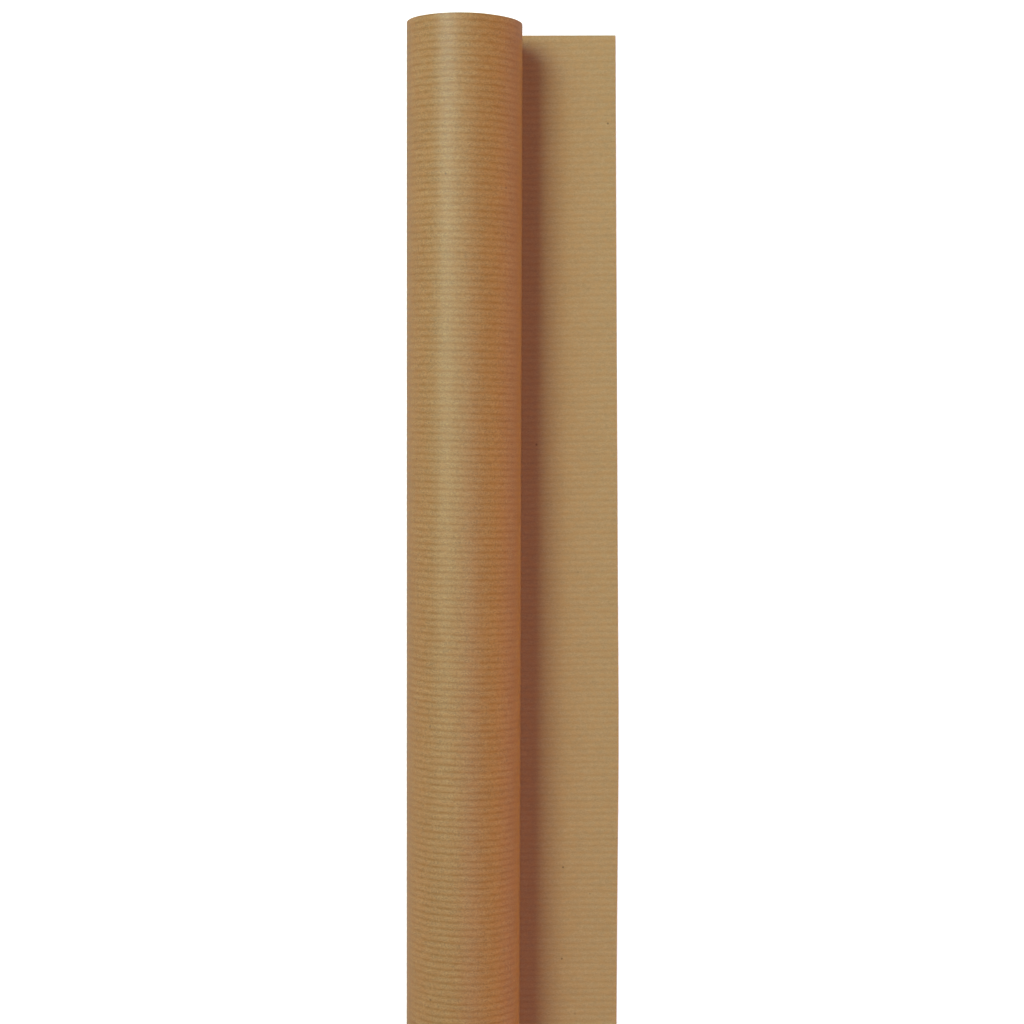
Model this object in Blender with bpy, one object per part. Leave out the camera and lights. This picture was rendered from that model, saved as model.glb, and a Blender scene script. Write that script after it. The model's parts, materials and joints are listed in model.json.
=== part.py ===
"""A roll of ribbed kraft wrapping paper, lying on a table with its free end run out flat beside it.

Metres, +Z up. The roll's axis is parallel to Y, the table is the plane Z = 0, and the loose web leaves
from under the roll towards +X. The origin is on the table, straight below the middle of the roll.
"""

import math

import bmesh
import bpy
from mathutils import Matrix

# Driving dimensions
PAPER_WIDTH = 0.700  # the web's width, which is the roll's length
ROLL_RADIUS = 0.0250  # to the outside of the last turn
TUBE_RADIUS = 0.0170  # outside of the spiral-wound tube
TUBE_BORE_RADIUS = 0.0150
PLIES = 3
FLAT_REACH = 0.0680  # how far the flat web reaches beside the line where it leaves the roll

# The web and how it is wound
WEB_THICKNESS = 0.0002  # paper with the relief of its ribs
TURNS = 12  # turns of the stand-in coil, each for about six of the real one's
TURN_GAP = 0.00012
WEB_END_ANGLE = math.radians(270)  # the web leaves the roll at its lowest line

# The tube: each ply is one strip, wound to the same lead, its butt seam a third of a turn from the next
PLY_LEAD = 0.108
PLY_SEAM = 0.0005
PLY_GAP = 0.0001

# The pieces of the flat web
UNDER_ROLL = 0.0060  # how far the runoff strip reaches back under the roll
RUNOFF_REACH = 0.0080
EDGE_STRIP = 0.0120  # width of the strip at the free edge
CLEARANCE = 0.0003
ROLLING_GAP = 0.00015  # between the lowest line of the roll and the web under it

STEPS = 40  # flats in each turn, the same all through, so that nested flats stay parallel
AXIS_HEIGHT = WEB_THICKNESS + ROLLING_GAP + ROLL_RADIUS

KRAFT = (0.42, 0.27, 0.12, 1.0)
BOARD = (0.36, 0.27, 0.18, 1.0)


def clear_scene():
    for obj in list(bpy.data.objects):
        bpy.data.objects.remove(obj, do_unlink=True)


def make_collection(name):
    collection = bpy.data.collections.new(name)
    bpy.context.scene.collection.children.link(collection)
    return collection


def make_material(name, colour, roughness):
    material = bpy.data.materials.new(name)
    material.use_nodes = True
    shader = material.node_tree.nodes["Principled BSDF"]
    shader.inputs["Base Color"].default_value = colour
    shader.inputs["Roughness"].default_value = roughness
    shader.inputs["Metallic"].default_value = 0.0
    return material


def put(collection, name, data, material):
    data.name = name
    data.materials.append(material)
    obj = bpy.data.objects.new(name, data)
    collection.objects.link(obj)
    return obj


def spiral_point(angle, radius):
    return (radius * math.cos(angle), radius * math.sin(angle), 0.0)


def coil_outline():
    """The section of the wound web: out along its inner side, back along its outer side."""
    lead = (ROLL_RADIUS - TUBE_RADIUS - CLEARANCE + TURN_GAP) / (TURNS + 1)
    thickness = lead - TURN_GAP
    inner_start = TUBE_RADIUS + CLEARANCE
    first_angle = WEB_END_ANGLE - TURNS * math.tau
    inner, outer = [], []
    for step in range(TURNS * STEPS + 1):
        angle = first_angle + step * math.tau / STEPS
        radius = inner_start + lead * step / STEPS
        inner.append(spiral_point(angle, radius))
        outer.append(spiral_point(angle, radius + thickness))
    return inner + outer[::-1]


def make_wound_paper(collection, material):
    """The coil as a flat outline, extruded to the web's width. It turns about the roll's axis."""
    curve = bpy.data.curves.new("wound_paper", "CURVE")
    curve.dimensions = "2D"
    curve.fill_mode = "BOTH"
    curve.extrude = PAPER_WIDTH / 2
    outline = coil_outline()
    spline = curve.splines.new("POLY")
    spline.points.add(len(outline) - 1)
    for point, place in zip(spline.points, outline):
        point.co = (*place, 1.0)
    spline.use_cyclic_u = True
    obj = put(collection, "wound_paper", curve, material)
    obj.location = (0, 0, AXIS_HEIGHT)
    obj.rotation_euler = (math.radians(90), 0, 0)
    return obj


def cut_flush(bm, y, outward):
    """Cuts everything past a plane square to the axis and closes the cut."""
    geometry = bm.verts[:] + bm.edges[:] + bm.faces[:]
    cut = bmesh.ops.bisect_plane(
        bm, geom=geometry, dist=1e-7, plane_co=(0, y, 0), plane_no=(0, outward, 0), clear_outer=True
    )
    rim = [item for item in cut["geom_cut"] if isinstance(item, bmesh.types.BMEdge)]
    bmesh.ops.edgeloop_fill(bm, edges=rim)


def make_ply(collection, material, name, index):
    """One ply of the tube: a strip wound in a helix, edge to edge, and cut off square at both ends."""
    ply_step = (TUBE_RADIUS - TUBE_BORE_RADIUS + PLY_GAP) / PLIES
    inner = TUBE_BORE_RADIUS + index * ply_step
    outer = inner + ply_step - PLY_GAP
    strip = PLY_LEAD - PLY_SEAM
    half = PAPER_WIDTH / 2
    turns = math.ceil(PAPER_WIDTH / PLY_LEAD) + 2
    start = -half - PLY_LEAD * (1 + index / PLIES)
    bm = bmesh.new()
    section = [(inner, start), (outer, start), (outer, start + strip), (inner, start + strip)]
    face = bm.faces.new([bm.verts.new((radius, y, 0)) for radius, y in section])
    bmesh.ops.spin(
        bm,
        geom=[face, *face.edges, *face.verts],
        cent=(0, 0, 0),
        axis=(0, 1, 0),
        dvec=(0, PLY_LEAD / STEPS, 0),
        angle=turns * math.tau,
        steps=turns * STEPS,
        use_merge=False,
    )
    bmesh.ops.remove_doubles(bm, verts=bm.verts, dist=1e-7)
    cut_flush(bm, half, 1)
    cut_flush(bm, -half, -1)
    bmesh.ops.recalc_face_normals(bm, faces=bm.faces)
    mesh = bpy.data.meshes.new(name)
    bm.to_mesh(mesh)
    bm.free()
    obj = put(collection, name, mesh, material)
    obj.location = (0, 0, AXIS_HEIGHT)
    return obj


def make_flat_strip(collection, material, name, left, right):
    """A flat stretch of the web on the table, between two X positions."""
    bm = bmesh.new()
    bmesh.ops.create_cube(bm, size=1.0)
    size = Matrix.Diagonal((right - left, PAPER_WIDTH, WEB_THICKNESS, 1.0))
    bmesh.ops.transform(bm, matrix=size, verts=bm.verts)
    mesh = bpy.data.meshes.new(name)
    bm.to_mesh(mesh)
    bm.free()
    obj = put(collection, name, mesh, material)
    obj.location = ((left + right) / 2, 0, WEB_THICKNESS / 2)
    return obj


def main():
    clear_scene()
    collection = make_collection("wrapping_paper_roll")
    kraft = make_material("kraft_paper", KRAFT, 0.75)
    board = make_material("tube_board", BOARD, 0.9)

    make_wound_paper(collection, kraft)
    for index, name in enumerate(("tube_inner_ply", "tube_middle_ply", "tube_outer_ply")):
        make_ply(collection, board, name, index)

    edge_start = FLAT_REACH - EDGE_STRIP
    make_flat_strip(collection, kraft, "runoff_strip", -UNDER_ROLL, RUNOFF_REACH)
    make_flat_strip(collection, kraft, "flat_web", RUNOFF_REACH + CLEARANCE, edge_start - CLEARANCE)
    make_flat_strip(collection, kraft, "free_edge", edge_start, FLAT_REACH)


main()
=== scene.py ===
# %% [markdown]
# # A roll of ribbed kraft wrapping paper
#
# The real thing is one long web of brown paper, wound some seventy-five times round a board tube. Fine
# ribs cross it every three millimetres. The last turn lies tight on the coil, and the web then leaves
# from under the roll and lies flat beside it.
#
# The working model, with its joints and its exact places, is loaded first. Everything made below is the
# visible surface that rides on it, so every size is read from that frame or named where it is first
# needed.

# %% Load the frame
import json
import math

import bmesh
import bpy
from mathutils import Matrix, Vector, noise


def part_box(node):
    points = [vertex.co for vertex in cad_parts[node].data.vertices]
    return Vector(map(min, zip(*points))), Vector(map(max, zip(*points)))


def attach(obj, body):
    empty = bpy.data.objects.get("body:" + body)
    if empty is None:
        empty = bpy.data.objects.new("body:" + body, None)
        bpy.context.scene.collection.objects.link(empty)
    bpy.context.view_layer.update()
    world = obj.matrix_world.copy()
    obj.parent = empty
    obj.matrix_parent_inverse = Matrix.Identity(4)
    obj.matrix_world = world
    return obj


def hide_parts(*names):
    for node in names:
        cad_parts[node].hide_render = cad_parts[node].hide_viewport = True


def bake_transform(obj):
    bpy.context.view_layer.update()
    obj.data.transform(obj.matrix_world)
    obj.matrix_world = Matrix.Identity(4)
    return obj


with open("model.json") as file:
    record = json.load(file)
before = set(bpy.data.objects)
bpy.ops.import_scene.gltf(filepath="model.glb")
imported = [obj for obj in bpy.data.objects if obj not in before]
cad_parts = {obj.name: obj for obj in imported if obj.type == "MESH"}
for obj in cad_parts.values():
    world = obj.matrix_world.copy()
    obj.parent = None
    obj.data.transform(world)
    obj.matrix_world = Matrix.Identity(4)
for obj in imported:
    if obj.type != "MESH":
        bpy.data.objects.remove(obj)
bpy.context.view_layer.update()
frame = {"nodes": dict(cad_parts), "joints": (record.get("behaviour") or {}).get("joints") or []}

print("nodes:", sorted(frame["nodes"]))

# %% [markdown]
# ## Sizes
#
# The frame gives what matters for the fit: how high the roll's axis is, how long the roll is, how far the
# flat web reaches, and how thick the tube's plies are. What is too fine for a working model is named
# here: the thickness of one layer of paper and the depth of its ribs.

# %% Sizes from the frame
spin_joint = next(joint for joint in frame["joints"] if joint["name"] == "roll_spin")
axis_height = spin_joint["pos_m"][2]
coil_low, coil_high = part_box("wound_paper")
half_width = (coil_high.y - coil_low.y) / 2
sheet_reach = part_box("free_edge")[1].x
ply_names = ("tube_inner_ply", "tube_middle_ply", "tube_outer_ply")
ply_radii = [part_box(name)[1].x for name in ply_names]
ply_step = ply_radii[2] - ply_radii[1]
print(f"axis {axis_height * 1000:.2f} mm up, web {half_width * 2000:.0f} mm wide")
print("outer radii of the plies, mm:", [round(radius * 1000, 2) for radius in ply_radii])

# %% Sizes of the paper
MM = 0.001
paper = 0.100 * MM  # one layer
relief = 0.035 * MM  # on the roll, from the top of a rib to the bottom of the groove beside it
sheet_relief = 0.11 * MM  # more where nothing presses the paper flat
rib_pitch = 2.96 * MM
hair = 0.020 * MM  # the air that is left between two things that touch
tiny = 1e-7  # closer than this, two points count as one
sheet_low = hair  # the air between the table and the sheet
roll_radius = axis_height - (sheet_low + paper + sheet_relief + hair)
taper = 0.0035  # the far end is wound this much fatter than the middle
rib_skew = rib_pitch / (math.tau * roll_radius)  # the ribs climb by one rib in each turn
print(f"roll {roll_radius * 2000:.2f} mm across, ribs lean {math.degrees(math.atan(rib_skew)):.2f} degrees")

# %% [markdown]
# ## Camera
#
# The camera looks almost straight down from a little to the right of the roll and beyond its middle, so
# the roll's far end is in view and its near end runs out of the picture. A camera's own up direction
# follows the roll here, so its axes are built from cross products instead of a tracking rule, which is
# unsure of itself when the view is vertical.


# %% The camera
def make_camera(name, place, target, lens, turn):
    camera = bpy.data.objects.new(name, bpy.data.cameras.new(name))
    back = (place - target).normalized()
    right = Vector((0, 1, 0)).cross(back).normalized()
    up = back.cross(right)
    axes = Matrix((right, up, back)).transposed().to_4x4()
    camera.matrix_world = Matrix.Translation(place) @ axes @ Matrix.Rotation(turn, 4, "Z")
    camera.data.lens = lens
    camera.data.clip_start = 0.05
    bpy.context.scene.collection.objects.link(camera)
    return camera


camera = make_camera(
    "camera",
    place=Vector((0.0559, 0.1783, 0.9035)),
    target=Vector((0.0201, 0.1371, 0)),
    lens=70.62,
    turn=0.0027,
)
bpy.context.scene.camera = camera
bpy.context.scene.view_settings.view_transform = "Standard"
print("camera at", [round(value, 3) for value in camera.matrix_world.translation])

# %% [markdown]
# ## Shader expressions
#
# A pattern reads best as a formula. The class below wraps one output of a shader node, and Python's
# operators on it add the Math nodes. Everything else, such as a noise or a colour mix, comes from one
# method that takes the node's type, its settings and what goes into its sockets.


# %% A wire that can be used in a formula
class Wire:
    """One output of a node, which can be added, multiplied and sent on to other nodes."""

    def __init__(self, tree, socket):
        self.tree = tree
        self.socket = socket

    def node(self, kind, settings, sockets, outlet=0):
        """Adds a node: first its settings, then the values or wires of its sockets."""
        added = self.tree.nodes.new(kind)
        for name, setting in settings.items():
            setattr(added, name, setting)
        for name, value in sockets.items():
            if isinstance(value, Wire):
                self.tree.links.new(value.socket, added.inputs[name])
            else:
                added.inputs[name].default_value = value
        return Wire(self.tree, added.outputs[outlet])

    def math(self, operation, *values):
        return self.node("ShaderNodeMath", {"operation": operation}, dict(enumerate(values)))

    def __add__(self, other):
        return self.math("ADD", self, other)

    def __sub__(self, other):
        return self.math("SUBTRACT", self, other)

    def __mul__(self, other):
        return self.math("MULTIPLY", self, other)

    def __pow__(self, other):
        return self.math("POWER", self, other)

    def __rsub__(self, other):
        return self.math("SUBTRACT", other, self)

    __radd__ = __add__
    __rmul__ = __mul__


# %% [markdown]
# Four small patterns serve every finish here. Noise gives clouds, grain and fibres. A stretched place
# makes the noise long in the direction in which the paper was made, which is round the roll and along the
# loose web. A soft step keeps only the part of a noise above some level, and a mix blends two colours.


# %% Patterns
def object_place(material):
    """Where a point of the piece is, in metres, which doesn't change when the piece moves."""
    tree = material.node_tree
    return Wire(tree, tree.nodes.new("ShaderNodeTexCoord").outputs["Object"])


def moved(place, shift):
    return place.node("ShaderNodeMapping", {"vector_type": "POINT"}, {"Vector": place, "Location": shift})


def stretched(place, along, across):
    """Scaled so that a noise of scale 1 has features 1/along long, in metres, and 1/across wide."""
    scale = (along, across, along)
    return place.node("ShaderNodeMapping", {"vector_type": "POINT"}, {"Vector": place, "Scale": scale})


def cloud(place, scale=1.0, detail=2.0, rough=0.5):
    """Noise about 0.5. More detail and roughness add finer noise on top."""
    sockets = {"Vector": place, "Scale": scale, "Detail": detail, "Roughness": rough}
    return place.node("ShaderNodeTexNoise", {"noise_dimensions": "3D"}, sockets, "Fac")


def step(value, low, high):
    """0 below low, 1 above high, and smooth between them."""
    sockets = {"Value": value, "From Min": low, "From Max": high}
    return value.node("ShaderNodeMapRange", {"interpolation_type": "SMOOTHSTEP"}, sockets)


def colour_mix(factor, first, second):
    """The first colour where the factor is 0 and the second where it is 1."""
    return factor.node("ShaderNodeMix", {"data_type": "RGBA"}, {0: factor, 6: first, 7: second}, 2)


def flecks(place, scale, share, size):
    """Small round specks, one in some of the cells of a Voronoi pattern."""
    sockets = {"Vector": place, "Scale": scale, "Randomness": 1.0}
    distance = place.node("ShaderNodeTexVoronoi", {}, sockets, "Distance")
    pick = place.node("ShaderNodeTexVoronoi", {}, sockets, "Color")
    chosen = step(place.node("ShaderNodeSeparateColor", {}, {"Color": pick}), 1 - share, 1 - share * 0.7)
    return chosen * (1 - step(distance, size * 0.5, size))


# %% [markdown]
# ## Kraft paper
#
# Ribbed kraft is brown from its unbleached fibre. Up close it has clouds a few millimetres wide, fine grain,
# pale fibres that lie along the web, a few dark specks of bark, and the ribs: soft dark lines where the
# paper was pressed. They are darker partly in the paper's own colour and partly as painted shade in the
# grooves. One side is pressed smooth and slightly glossy, and it is outside on the roll. The other side is
# matt, and it is what faces up on the loose web. One function makes both, with the differences as its
# arguments.
#
# Relief alone would leave the ribs invisible where the light meets them head on, so each groove is also a
# darker line in the colour. That line is painted shade of the groove, on top of the pressed paper's own
# darker tone. The lines follow the grooves of the mesh, but they are broken by noise and wander a little,
# because ruled lines would look printed. On the roll, a groove's place comes from the angle about the axis.
# The loose sheet gets longer when paper is pulled off, so there each vertex knows its own rib.


# %% Lines along the grooves
line_wander = 1.6  # radians of a rib, from one side to the other


def unsteady(place):
    """How far the dark line strays from its groove. It stays within an eighth of a rib to either side."""
    return (cloud(stretched(place, 160, 300), rough=0.6) - 0.5) * line_wander


def ribs_round_roll(place):
    """1 in the grooves and 0 on the ribs. The grooves are one long screw thread round the roll."""
    parts = {"Vector": moved(place, (0, 0, -axis_height))}
    x = place.node("ShaderNodeSeparateXYZ", {}, parts, "X")
    y = place.node("ShaderNodeSeparateXYZ", {}, parts, "Y")
    z = place.node("ShaderNodeSeparateXYZ", {}, parts, "Z")
    angle = place.math("ARCTAN2", 0 - z, x)
    phase = y * (math.tau / rib_pitch) + angle + unsteady(place)
    return (0.5 + 0.5 * place.math("COSINE", phase)) ** 2


def ribs_on_sheet(place):
    """The same grooves on the loose web, where each vertex knows which rib it is on."""
    rib = place.node("ShaderNodeAttribute", {"attribute_name": "rib"}, {}, "Fac")
    phase = rib * math.tau + unsteady(place)
    return (0.5 + 0.5 * place.math("COSINE", phase)) ** 2


# %% Kraft
bark = (0.10, 0.055, 0.025, 1.0)


def make_kraft(
    name, ribs, light, dark, warm, groove, rib_strength, grain_contrast, roughness, specular, grain_height
):
    """Kraft paper whose grooves are given by the function ribs, from a place to a value from 0 to 1."""
    material = bpy.data.materials.new(name)
    material.use_nodes = True
    tree = material.node_tree
    shader = tree.nodes["Principled BSDF"]
    shader.inputs["Specular IOR Level"].default_value = specular
    place = object_place(material)

    clouds = cloud(stretched(place, 60, 90), detail=3.0, rough=0.55)
    patches = step(cloud(stretched(place, 200, 340), detail=4.0, rough=0.75), 0.42, 0.60)
    grain = cloud(stretched(place, 1200, 1700), detail=4.0, rough=0.85)
    fibres = step(cloud(stretched(place, 260, 2400), detail=1.0), 0.56, 0.74)
    broken = cloud(stretched(place, 300, 700), detail=3.0, rough=0.75)
    specks = flecks(place, scale=160, share=0.12, size=0.10)

    line = ribs(place) * step(broken, 0.15, 0.72)
    tone = 0.5 + (clouds - 0.5) * 0.4 + (grain - 0.5) * grain_contrast + fibres * 0.25
    colour = colour_mix(tone, dark, light)
    colour = colour_mix(patches * 0.38, colour, warm)
    # The grooves' darker colour is partly the pressed paper's own tone and partly painted shade.
    colour = colour_mix(line * rib_strength, colour, groove)
    colour = colour_mix(specks * 0.6, colour, bark)
    tree.links.new(colour.socket, shader.inputs["Base Color"])

    gloss = roughness + (grain - 0.5) * 0.2 - line * 0.1
    tree.links.new(gloss.socket, shader.inputs["Roughness"])

    height = grain * 0.7 + fibres * 0.5 - line * 0.2
    bump = place.node("ShaderNodeBump", {}, {"Strength": 1.0, "Distance": grain_height, "Height": height})
    tree.links.new(bump.socket, shader.inputs["Normal"])
    return material


# %% The two sides of the paper
# Each groove colour below is partly the pressed paper's own tone and partly painted shade.
glazed_kraft = make_kraft(
    "glazed_kraft",
    ribs_round_roll,
    light=(0.371, 0.215, 0.076, 1.0),
    dark=(0.219, 0.123, 0.043, 1.0),
    warm=(0.322, 0.148, 0.038, 1.0),
    groove=(0.215, 0.088, 0.012, 1.0),
    rib_strength=0.68,
    grain_contrast=4.8,
    roughness=0.42,
    specular=0.5,
    grain_height=0.028 * MM,
)
matt_kraft = make_kraft(
    "matt_kraft",
    ribs_on_sheet,
    light=(0.457, 0.299, 0.135, 1.0),
    dark=(0.322, 0.210, 0.091, 1.0),
    warm=(0.430, 0.240, 0.082, 1.0),
    groove=(0.30, 0.150, 0.042, 1.0),
    rib_strength=0.36,
    grain_contrast=3.2,
    roughness=0.75,
    specular=0.35,
    grain_height=0.012 * MM,
)
print("kraft finishes:", glazed_kraft.name, matt_kraft.name)

# %% [markdown]
# ## Cut edges
#
# Where the web was cut, the torn ends of the fibres show. On one layer that is a thin pale line. On the ends
# of the roll it is seventy-five layers side by side, and the eye sees fine rings, because some layers stand
# out by a hair and others hide in their shadow. Here the rings are painted light and painted shade in the
# colour, which change with the distance from the axis, and a bump gives them a little relief as well.


# %% The cut edge of the paper
def make_cut_edge(name):
    material = bpy.data.materials.new(name)
    material.use_nodes = True
    tree = material.node_tree
    shader = tree.nodes["Principled BSDF"]
    place = object_place(material)
    from_axis = moved(place, (0, 0, -axis_height))
    spoke = place.node("ShaderNodeVectorMath", {"operation": "MULTIPLY"}, {0: from_axis, 1: (1, 0, 1)})
    radius = place.node("ShaderNodeVectorMath", {"operation": "LENGTH"}, {0: spoke}, "Value")
    settings = {"noise_dimensions": "1D"}
    rings = radius.node("ShaderNodeTexNoise", settings, {"W": radius, "Scale": 5200.0, "Detail": 2.0}, "Fac")
    bands = radius.node("ShaderNodeTexNoise", settings, {"W": radius, "Scale": 900.0, "Detail": 1.0}, "Fac")
    fuzz = cloud(place, scale=2500, rough=0.6)
    # The rings in the colour are painted shade on the layers that hide and painted light on those that stand
    # out.
    tone = 0.5 + (rings - 0.5) * 1.4 + (bands - 0.5) * 0.7 + (fuzz - 0.5) * 0.6
    colour = colour_mix(tone, (0.30, 0.175, 0.075, 1.0), (0.50, 0.335, 0.165, 1.0))
    tree.links.new(colour.socket, shader.inputs["Base Color"])
    shader.inputs["Roughness"].default_value = 0.85
    height = rings * 0.7 + fuzz * 0.3
    bump = place.node("ShaderNodeBump", {}, {"Strength": 0.7, "Distance": 0.05 * MM, "Height": height})
    tree.links.new(bump.socket, shader.inputs["Normal"])
    return material


cut_edge = make_cut_edge("cut_paper_edge")
print("cut edge:", len(cut_edge.node_tree.nodes), "nodes")

# %% [markdown]
# ## Tube board
#
# The tube is wound from strips of recycled board. The two liners are brown, the middle ply is greyer. The
# board has coarse clouds, pale hairs of fibre, dark specks, and no gloss. It differs from the paper
# mostly in how coarse it is, so the same patterns serve with larger features.


# %% Board
def make_board(name, light, dark, speck):
    material = bpy.data.materials.new(name)
    material.use_nodes = True
    tree = material.node_tree
    shader = tree.nodes["Principled BSDF"]
    place = object_place(material)
    clouds = cloud(place, scale=140, detail=3.0, rough=0.6)
    grain = cloud(place, scale=1500, rough=0.6)
    hairs = step(cloud(stretched(place, 500, 1800), detail=1.0), 0.60, 0.72)
    specks = flecks(place, scale=260, share=0.25, size=0.14)
    tone = 0.45 + (clouds - 0.5) * 1.2 + (grain - 0.5) * 0.9 + hairs * 0.35
    colour = colour_mix(tone, dark, light)
    colour = colour_mix(specks * 0.7, colour, speck)
    tree.links.new(colour.socket, shader.inputs["Base Color"])
    rough = 0.86 + (grain - 0.5) * 0.15
    tree.links.new(rough.socket, shader.inputs["Roughness"])
    height = grain + hairs * 0.6
    bump = place.node("ShaderNodeBump", {}, {"Strength": 1.0, "Distance": 0.03 * MM, "Height": height})
    tree.links.new(bump.socket, shader.inputs["Normal"])
    return material


liner_board = make_board(
    "liner_board",
    light=(0.40, 0.29, 0.18, 1.0),
    dark=(0.27, 0.185, 0.11, 1.0),
    speck=(0.09, 0.06, 0.04, 1.0),
)
core_board = make_board(
    "core_board",
    light=(0.37, 0.32, 0.26, 1.0),
    dark=(0.24, 0.20, 0.155, 1.0),
    speck=(0.07, 0.06, 0.055, 1.0),
)
print("board finishes:", liner_board.name, core_board.name)

# %% [markdown]
# ## Shared steps
#
# Three steps recur in every piece. A line of rows is one edge, cut into as many rows as the ribs need. A
# trim slices everything past a plane away and gives back the edges of the cut. A finished bmesh becomes
# an object at the origin, smooth except at its real edges.

# %% Helpers
rows_per_rib = 6
columns_per_turn = 64
print(f"{rows_per_rib} rows in each rib, {columns_per_turn} columns in each turn")


def groove(phase):
    """How deep the paper is pressed, from 0 on a rib to 1 in a groove. The phase counts ribs."""
    return (0.5 + 0.5 * math.cos(math.tau * phase)) ** 2


def line_of_rows(bm, x, reach):
    """A line parallel to Y with whole ribs to both sides of the middle."""
    ribs = math.ceil(reach / rib_pitch)
    ends = [bm.verts.new((x, side * ribs * rib_pitch, 0)) for side in (-1, 1)]
    line = bm.edges.new(ends)
    bmesh.ops.subdivide_edges(bm, edges=[line], cuts=2 * ribs * rows_per_rib - 1)


def of_type(items, kind):
    return [item for item in items if isinstance(item, kind)]


def trim(bm, place, outward):
    geometry = bm.verts[:] + bm.edges[:] + bm.faces[:]
    cut = bmesh.ops.bisect_plane(
        bm, geom=geometry, dist=tiny, plane_co=place, plane_no=outward, clear_outer=True
    )
    return of_type(cut["geom_cut"], bmesh.types.BMEdge)


def finish_piece(bm, name, *materials):
    mesh = bpy.data.meshes.new(name)
    bm.to_mesh(mesh)
    bm.free()
    for material in materials:
        mesh.materials.append(material)
    mesh.shade_smooth()
    mesh.set_sharp_from_angle(angle=math.radians(40))
    piece = bpy.data.objects.new(name, mesh)
    bpy.context.scene.collection.objects.link(piece)
    mesh.calc_loop_triangles()
    print(f"{name}: {len(mesh.loop_triangles)} triangles")
    return piece


# %% [markdown]
# ## The outer turn
#
# This is the layer of the web that shows. Its ribs are real relief, so they catch the light from the
# side. A cylinder with a bump map would be quicker, but its outline and its mesh would be plain. Here a
# line of rows gets the ribs' profile and is spun once round the axis while it slides along it by exactly
# one rib, so the last column meets the first one, and the ribs run round as a screw thread. The ends are
# then sliced off, and the wall gets its thickness from a smooth inner skin, where the ribs would never be
# seen.

# %% The outer turn
end_lean = 0.0136  # the far end was cut this much out of square, seen from above
end_tilt = end_lean / 3  # and a third as much, seen from the side


def taper_at(y):
    """How much thinner the roll is here than at its far end."""
    return 1 + taper * (y - half_width) / half_width


def make_outer_turn():
    bm = bmesh.new()
    line_of_rows(bm, roll_radius, half_width + 2 * rib_pitch)
    for vert in bm.verts:
        vert.co.x = roll_radius * taper_at(vert.co.y) - relief * groove(vert.co.y / rib_pitch)
    bmesh.ops.spin(
        bm,
        geom=bm.verts[:] + bm.edges[:],
        cent=(0, 0, 0),
        axis=(0, 1, 0),
        dvec=(0, -rib_pitch / columns_per_turn, 0),
        angle=math.tau,
        steps=columns_per_turn,
        use_merge=False,
    )
    bmesh.ops.remove_doubles(bm, verts=bm.verts, dist=hair)
    rims = [
        trim(bm, (0, half_width, 0), (end_lean, 1, end_tilt)),
        trim(bm, (0, -half_width, 0), (0, -1, 0)),
    ]
    inner_edges = []
    for rim in rims:
        grown = bmesh.ops.extrude_edge_only(bm, edges=rim)["geom"]
        inner = set(of_type(grown, bmesh.types.BMVert))
        for vert in inner:
            spoke = Vector((vert.co.x, 0, vert.co.z)).normalized()
            spoke *= roll_radius * taper_at(vert.co.y) - relief - paper
            vert.co = (spoke.x, vert.co.y, spoke.z)
        for face in of_type(grown, bmesh.types.BMFace):
            face.material_index = 1
        inner_edges += [edge for edge in of_type(grown, bmesh.types.BMEdge) if set(edge.verts) <= inner]
    bmesh.ops.bridge_loops(bm, edges=inner_edges)
    bmesh.ops.recalc_face_normals(bm, faces=bm.faces)
    bmesh.ops.translate(bm, verts=bm.verts, vec=(0, 0, axis_height))
    return finish_piece(bm, "outer_turn", glazed_kraft, cut_edge)


outer_turn = make_outer_turn()

# %% [markdown]
# ## The wound coil
#
# Under the outer turn the web goes on for seventy-five turns, and at the ends of the roll every layer
# shows. Rings would do from a distance, but a roll is one spiral, so it is made as one. A single vertex
# is spun round the axis while it climbs, and the height it has reached says how many turns it has made.
# That height is then traded for distance from the axis. The spiral is pulled out to the web's width and
# given the thickness of the paper. No winder keeps the edge perfectly even, so each stretch of the edge
# wanders by about a tenth of a millimetre.

# %% The coil's own sizes
turns = 75
coil_paper = 0.095 * MM  # pressed a little thinner than a loose layer
coil_inner = ply_radii[2] + 2 * hair
coil_outer = roll_radius - relief - paper - hair
slow_wander = 0.10 * MM  # over several turns
quick_wander = 0.09 * MM  # from one turn to the next
elsewhere = Vector((9, 4, 2))  # another part of the same noise


def edge_wander(turn, direction):
    slow = noise.noise(Vector((direction.x, turn / 9, direction.z)))
    quick = noise.noise(Vector((direction.x * 2, turn * 1.7, direction.z * 2)) + elsewhere)
    return slow_wander * slow + quick_wander * quick


coil_length = turns * math.pi * (coil_inner + coil_outer)
print(f"the coil holds {coil_length:.2f} m of paper")


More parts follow.
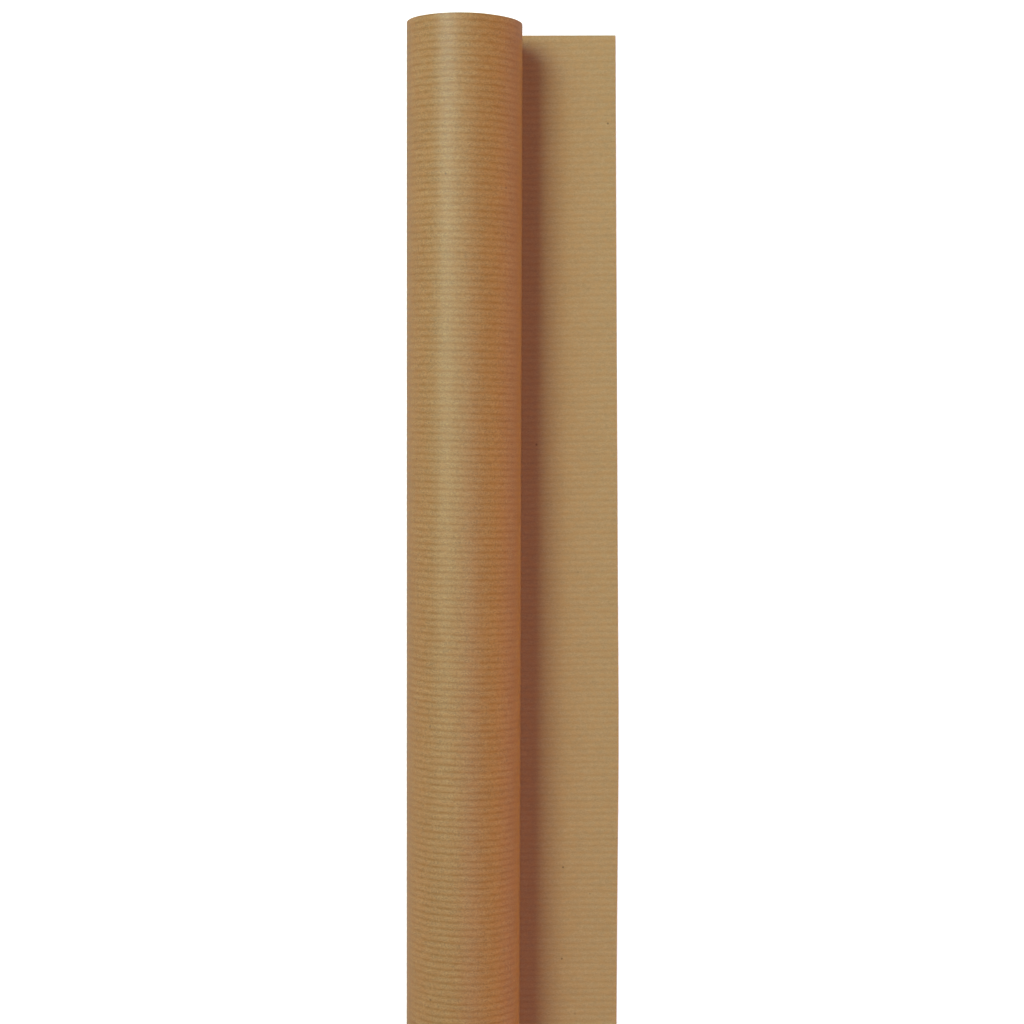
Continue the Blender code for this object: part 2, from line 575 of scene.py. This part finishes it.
# %% The wound coil
def make_wound_coil():
    bm = bmesh.new()
    first = bm.verts.new((0, 0, -1))
    bmesh.ops.spin(
        bm,
        geom=[first],
        cent=(0, 0, 0),
        axis=(0, 1, 0),
        dvec=(0, 1 / columns_per_turn, 0),
        angle=-turns * math.tau,
        steps=turns * columns_per_turn,
        use_merge=False,
    )
    pulled = bmesh.ops.extrude_edge_only(bm, edges=bm.edges[:])["geom"]
    far = set(of_type(pulled, bmesh.types.BMVert))
    for vert in bm.verts:
        side = 1 if vert in far else -1
        turn = vert.co.y
        direction = Vector((vert.co.x, 0, vert.co.z))
        outside = coil_outer + roll_radius * (taper_at(side * half_width) - 1)
        radius = coil_inner + (outside - coil_inner) * turn / turns
        vert.co = direction * radius
        lean = -end_lean * vert.co.x if side > 0 else 0
        vert.co.y = side * (half_width - hair) + lean + edge_wander(turn, direction)
    bmesh.ops.recalc_face_normals(bm, faces=bm.faces)
    bmesh.ops.solidify(bm, geom=bm.faces[:], thickness=coil_paper)
    bmesh.ops.recalc_face_normals(bm, faces=bm.faces)
    bmesh.ops.translate(bm, verts=bm.verts, vec=(0, 0, axis_height))
    return finish_piece(bm, "wound_coil", cut_edge)


wound_coil = make_wound_coil()

# %% [markdown]
# ## The loose sheet
#
# From the lowest line of the roll the web runs out flat. A line of rows is extruded sideways, column by
# column, and each column is shifted along a little so that the rows follow the leaning ribs. Its far end
# is sliced straight, its free edge runs slightly askew as a hand-held cut does, and the whole sheet is
# not perfectly flat: the free edge lifts off the table here and there by a fraction of a millimetre.

# %% The loose sheet's own sizes
sheet_columns = 24
tuck = 2.5 * MM  # how far the sheet reaches back under the roll
sheet_short = 0.25 * MM  # its far end lies this much inside the roll's
sheet_lean = 0.003  # how much its far end is out of square
rib_start = 0.25  # a quarter turn from the side of the roll to its lowest line moves the ribs by a quarter
edge_slope = 0.0094  # how steeply the free edge draws back towards the far end
edge_knee = 60 * MM  # where it starts to
edge_bend = 15 * MM  # and how gently
edge_ahead = 0.3 * MM  # how far the edge stands out all along
bulge_height, bulge_width = 0.3 * MM, 50 * MM
bulge_place = 25 * MM
highest_lift = 0.30 * MM
flat_share = 0.3  # the part of the sheet, next to the roll, that doesn't lift


def free_edge_at(y):
    """The free edge is nearly straight, bulges a little, and then draws back towards the roll."""
    drawn_back = edge_slope * edge_bend * math.log1p(math.exp((y - edge_knee) / edge_bend))
    bulge = bulge_height * math.exp(-(((y - bulge_place) / bulge_width) ** 2))
    return sheet_reach + edge_ahead + bulge - drawn_back


def lift_at(x, y):
    """How high the sheet stands off the table, which waves along the free edge."""
    loose = max(0.0, (x / sheet_reach - flat_share) / (1 - flat_share)) ** 2
    wave = noise.noise(Vector((x * 9, y * 7, 3.1))) + 0.5
    return highest_lift * loose * max(0.0, wave)


sheet_reaches = [round(free_edge_at(y) * 1000, 2) for y in (-half_width, 0, half_width)]
print("free edge at the near end, middle and far end, mm:", sheet_reaches)


# %% The loose sheet
def make_loose_sheet():
    bm = bmesh.new()
    line_of_rows(bm, -tuck, half_width + 2 * rib_pitch)
    column = (sheet_reach + tuck) / sheet_columns
    front = bm.edges[:]
    for _ in range(sheet_columns):
        grown = bmesh.ops.extrude_edge_only(bm, edges=front)["geom"]
        front = of_type(grown, bmesh.types.BMEdge)
        moving = of_type(grown, bmesh.types.BMVert)
        bmesh.ops.translate(bm, verts=moving, vec=(column, column * rib_skew, 0))
    trim(bm, (0, half_width - sheet_short, 0), (sheet_lean, 1, 0))
    trim(bm, (0, -half_width, 0), (0, -1, 0))
    rib = bm.verts.layers.float.new("rib")
    for vert in bm.verts:
        x, y, _ = vert.co
        vert[rib] = (y - rib_skew * x) / rib_pitch + rib_start
        reach = (free_edge_at(y) + tuck) / (sheet_reach + tuck)
        vert.co.x = (x + tuck) * reach - tuck
        vert.co.z = sheet_low + paper + sheet_relief * (1 - groove(vert[rib])) + lift_at(x, y)
    bmesh.ops.recalc_face_normals(bm, faces=bm.faces)
    if bm.faces[:][0].normal.z < 0:
        bmesh.ops.reverse_faces(bm, faces=bm.faces)
    bmesh.ops.solidify(bm, geom=bm.faces[:], thickness=paper)
    bmesh.ops.recalc_face_normals(bm, faces=bm.faces)
    for face in bm.faces:
        if face.normal.z < -0.5:
            face.material_index = 1  # the glazed side faces down
        elif face.normal.z < 0.5:
            face.material_index = 2  # and the cut edges face sideways
    return finish_piece(bm, "loose_sheet", matt_kraft, glazed_kraft, cut_edge)


loose_sheet = make_loose_sheet()
low_corner, high_corner = loose_sheet.bound_box[0], loose_sheet.bound_box[6]
print("sheet from, mm:", [round(value * 1000, 3) for value in low_corner])
print("sheet to, mm:", [round(value * 1000, 3) for value in high_corner])

# %% [markdown]
# ## The tube
#
# The tube is three strips of board, each wound in a helix with its edges nearly touching, and each a
# third of a turn from the next, so that no two seams lie over each other. The section of the strip is a
# thin rectangle with its corners taken off, spun in many small steps while it climbs. Both ends are
# sliced off square and closed.

# %% The tube's plies
ply_lead = 108 * MM  # how far the helix climbs in one turn
seam = 0.35 * MM  # the gap between one turn of the strip and the next
corner = 0.08 * MM  # taken off each corner of the strip's section
ply_columns = 96  # in one turn


def make_ply(name, index, material):
    outer = ply_radii[index]
    inner = outer - ply_step + hair
    length = 2 * half_width
    ply_turns = math.ceil(length / ply_lead) + 2
    start = -half_width - ply_lead * (1 + index / len(ply_names))
    bm = bmesh.new()
    low, high = start, start + ply_lead - seam
    corners = [(inner, low), (outer, low), (outer, high), (inner, high)]
    section = bm.faces.new([bm.verts.new((radius, y, 0)) for radius, y in corners])
    bmesh.ops.bevel(
        bm,
        geom=section.verts[:],
        offset=corner,
        offset_type="OFFSET",
        affect="VERTICES",
        segments=1,
        profile=0.5,
        material=-1,
    )
    bmesh.ops.spin(
        bm,
        geom=bm.faces[:] + bm.edges[:] + bm.verts[:],
        cent=(0, 0, 0),
        axis=(0, 1, 0),
        dvec=(0, ply_lead / ply_columns, 0),
        angle=ply_turns * math.tau,
        steps=ply_turns * ply_columns,
        use_merge=False,
    )
    bmesh.ops.remove_doubles(bm, verts=bm.verts, dist=10 * tiny)
    for side in (1, -1):
        rim = trim(bm, (0, side * half_width, 0), (0, side, 0))
        bmesh.ops.edgeloop_fill(bm, edges=rim)
    bmesh.ops.recalc_face_normals(bm, faces=bm.faces)
    bmesh.ops.translate(bm, verts=bm.verts, vec=(0, 0, axis_height))
    return finish_piece(bm, name.replace("tube_", "") + "_strip", material)


ply_boards = (liner_board, core_board, liner_board)
plies = [make_ply(name, index, ply_boards[index]) for index, name in enumerate(ply_names)]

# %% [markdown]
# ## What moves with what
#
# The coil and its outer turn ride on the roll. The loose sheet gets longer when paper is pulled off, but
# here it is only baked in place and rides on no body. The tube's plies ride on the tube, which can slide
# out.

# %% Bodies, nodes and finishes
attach(outer_turn, "roll")
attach(wound_coil, "roll")
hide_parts("wound_paper")
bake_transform(loose_sheet)
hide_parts("runoff_strip", "flat_web", "free_edge")
for ply, name in zip(plies, ply_names):
    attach(ply, "tube")
    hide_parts(name)
print("moving pieces:", [piece.name for piece in (outer_turn, wound_coil, loose_sheet, *plies)])

# %% [markdown]
# Paper is a sheet, so the lengths of the outer turn and the loose sheet, laid out flat, are worked out and
# printed. The coil and the outer turn lie on what is under them, and the loose sheet lies on the table.

# %% The sheets' flat sizes
outer_length = math.tau * (roll_radius - relief / 2 - paper / 2)
print(f"outer turn {outer_length:.3f} m long, loose sheet {sheet_reach + tuck:.4f} m")

# %% [markdown]
# ## Table and light
#
# The table is plain and so pale that it almost shines, as for a catalogue. A large soft key light stands
# high on the left and a little beyond the roll, with a dimmer skirt beside it, so the roll's shadow falls
# softly on the sheet. A wide light fills from the near side, and two low warm cards warm the flanks, as
# paper nearby would. The pale band on the roll's shoulder is a reflection. It has three lights of its
# own, which show in gloss and light nothing else, so its place and width can be set without touching the
# shadows. The table is left out of reflections for the same reason.
#
# Round the table stands a white sphere that only the camera sees. The world could be white instead, but
# the paper's gloss reflects the world, and a bright one would lay a grey veil over the whole roll.
#
# A studio light is easiest to place by two angles: how far it leans to the left of straight up, and how
# far it leans away beyond the middle. All stand at the same distance and face the roll. A light's size is
# given by the two angles that it fills, as seen from the roll.


# %% Table and room
pale = (0.9, 0.9, 0.9, 1.0)
white = (1.0, 1.0, 1.0, 1.0)
faint = (0.3, 0.3, 0.3, 1.0)


def make_glow(name):
    material = bpy.data.materials.new(name)
    material.use_nodes = True
    shader = material.node_tree.nodes["Principled BSDF"]
    shader.inputs["Base Color"].default_value = pale
    shader.inputs["Roughness"].default_value = 0.9
    shader.inputs["Emission Color"].default_value = white
    shader.inputs["Emission Strength"].default_value = 1.0
    return material


def make_stage(bm, name, material):
    mesh = bpy.data.meshes.new(name)
    bm.to_mesh(mesh)
    bm.free()
    mesh.materials.append(material)
    stage = bpy.data.objects.new(name, mesh)
    stage.visible_glossy = False
    bpy.context.scene.collection.objects.link(stage)
    return stage


# The lamps' pool of light ends about a metre out, so the table shines more from there on and stays white.
table_white = make_glow("table_white")
table_place = object_place(table_white)
from_middle = table_place.node("ShaderNodeVectorMath", {"operation": "LENGTH"}, {0: table_place}, "Value")
shine = colour_mix(step(from_middle, 0.5, 1.1), faint, white)
table_shader = table_white.node_tree.nodes["Principled BSDF"]
table_white.node_tree.links.new(shine.socket, table_shader.inputs["Emission Color"])

table_bm = bmesh.new()
bmesh.ops.create_grid(table_bm, x_segments=1, y_segments=1, size=1.2)
table = make_stage(table_bm, "table", table_white)

# The sphere's equator lies a little below the table's top, so the two never share a plane.
room_bm = bmesh.new()
bmesh.ops.create_uvsphere(room_bm, u_segments=48, v_segments=24, radius=12.0)
bmesh.ops.translate(room_bm, verts=room_bm.verts, vec=(0, 0, -0.002))
room = make_stage(room_bm, "white_room", make_glow("room_white"))
room.visible_diffuse = False
room.visible_shadow = False
room.data.materials[0].cycles.emission_sampling = "NONE"
print("stage:", table.name, room.name)

# %% Lights
light_centre = Vector((0, 0.1, 0))
light_distance = 1.8


def make_light(name, left, beyond, spread, watts, in_gloss=False):
    """An area light whose power in red, green and blue is given in watts."""
    left, beyond = math.radians(left), math.radians(beyond)
    back = Vector((-math.sin(left) * math.cos(beyond), math.sin(beyond), math.cos(left) * math.cos(beyond)))
    right = Vector((0, 1, 0)).cross(back).normalized()
    axes = Matrix((right, back.cross(right), back)).transposed().to_4x4()
    light = bpy.data.lights.new(name, "AREA")
    light.shape = "RECTANGLE"
    light.size, light.size_y = (2 * light_distance * math.tan(math.radians(angle / 2)) for angle in spread)
    light.energy = max(watts)
    light.color = [power / light.energy for power in watts]
    lamp = bpy.data.objects.new(name, light)
    lamp.matrix_world = Matrix.Translation(light_centre + light_distance * back) @ axes
    lamp.visible_camera = False
    lamp.visible_glossy = in_gloss
    lamp.visible_diffuse = not in_gloss
    bpy.context.scene.collection.objects.link(lamp)
    return lamp


# Each has its name, degrees to the left, degrees beyond, the angles that it fills, and its watts.
make_light("key", 21, 24, (18, 30), (21.5, 27.3, 26.4))
make_light("key_skirt", 36, 24, (12, 30), (2.2, 3.8, 3.0))
make_light("near_fill", -18, -12, (34, 40), (8.0, 6.2, 10.4))
make_light("warm_card_left", 61, -8, (30, 60), (18.0, 11.5, 9.5))
make_light("warm_card_right", -72, -10, (30, 60), (23.0, 9.0, 1.2))
make_light("sheen_far", 35, 42, (8, 14), (12.0, 16.5, 21.0), in_gloss=True)
make_light("sheen_near", 35, 6, (20, 28), (5.6, 8.2, 6.6), in_gloss=True)
make_light("sheen_wide", 4, 4, (40, 26), (3.2, 6.5, 5.8), in_gloss=True)

# %% The faint glow that the gloss reflects
world = bpy.data.worlds.new("room_glow")
world.use_nodes = True
background = world.node_tree.nodes["Background"]
background.inputs["Color"].default_value = white
background.inputs["Strength"].default_value = 0.35
bpy.context.scene.world = world
world.cycles_visibility.diffuse = False  # it is reflected, but it lights nothing
print("the room glows with strength", background.inputs["Strength"].default_value)
